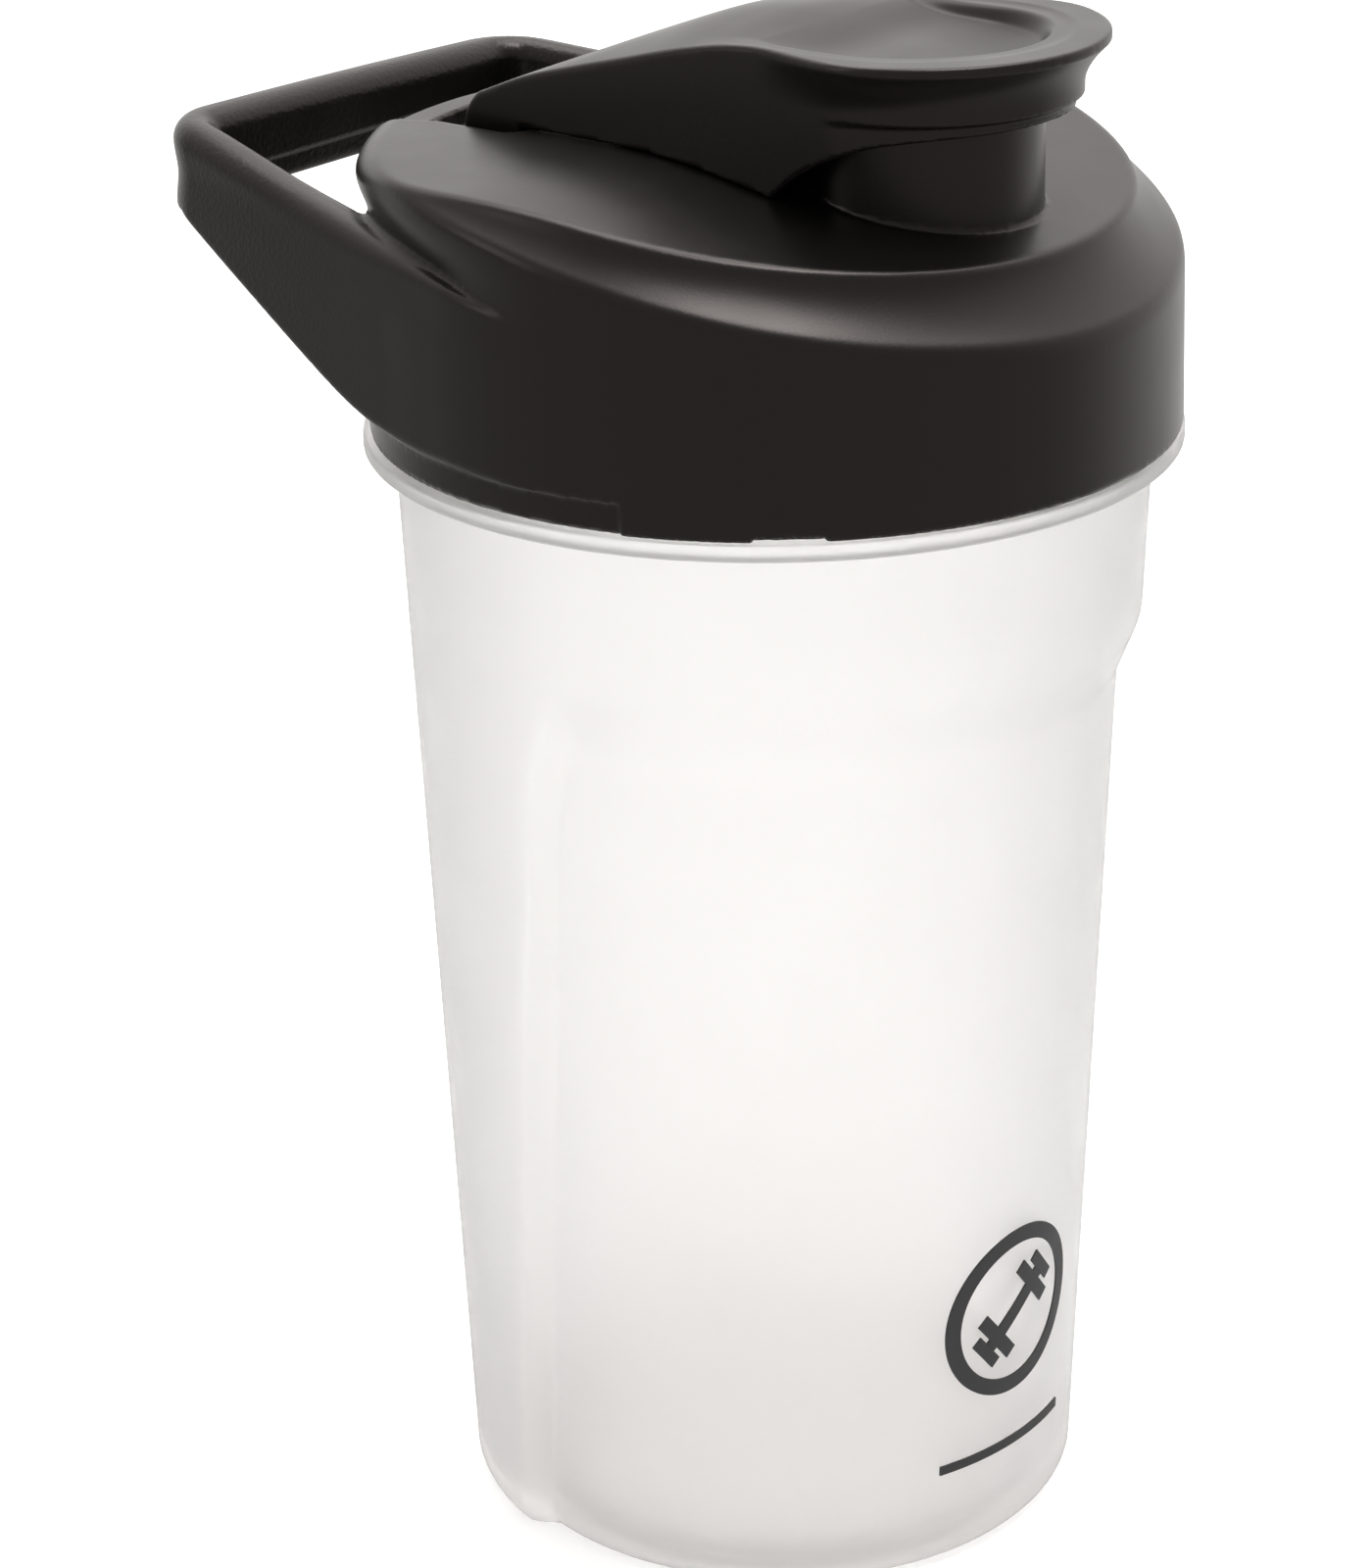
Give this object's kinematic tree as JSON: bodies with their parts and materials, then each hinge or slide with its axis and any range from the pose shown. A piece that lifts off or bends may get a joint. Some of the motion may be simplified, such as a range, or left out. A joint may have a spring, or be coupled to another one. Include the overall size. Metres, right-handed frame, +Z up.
{
  "type": "protein shaker bottle",
  "caption": "Tapered translucent shaker cup with a screw-on lid, a flip cap over the drinking spout, a side carry loop and a mixing grid.",
  "frame": {"origin": "centre of the cup's base, on the cup's axis", "axes": "+Z up the cup's axis, +X towards the spout, -X towards the carry loop, XZ is the mirror plane"},
  "size_m": [0.1242, 0.1034, 0.1994],
  "materials": {
    "clear_plastic": "frosted, translucent",
    "ink": "flat print",
    "black_plastic": "satin with a fine grain",
    "silicone": "soft satin",
    "grid_plastic": "satin"
  },
  "bodies": {
    "cup": {"cup": "clear_plastic", "printed_mark": "ink"},
    "lid_rise": {"lid_gasket": "silicone"},
    "lid": {"lid_shell": "black_plastic", "carry_loop": "black_plastic"},
    "grid": {"mixing_grid": "grid_plastic"},
    "cap": {"flip_cap": "black_plastic", "spout_seal": "silicone"}
  },
  "joints": [
    {"name": "lid_lift", "type": "slide", "parent": "cup", "child": "lid_rise", "axis": [0, 0, 1], "range_m": [0, 0.0091]},
    {"name": "lid_turn", "type": "hinge", "parent": "lid_rise", "child": "lid", "pos_m": [0, 0, 0.1483], "axis": [0, 0, 1], "range_deg": [0, 405]},
    {"name": "grid_pull", "type": "slide", "parent": "lid", "child": "grid", "axis": [0, 0, -1], "range_m": [0, 0.012]},
    {"name": "cap_flip", "type": "hinge", "parent": "lid", "child": "cap", "pos_m": [-0.0305, 0, 0.185], "axis": [0, -1, 0], "range_deg": [0, 115]}
  ],
  "couplings": [
    {"joint": "lid_lift", "follows": "lid_turn", "m_per_rad": 0.0012732}
  ]
}
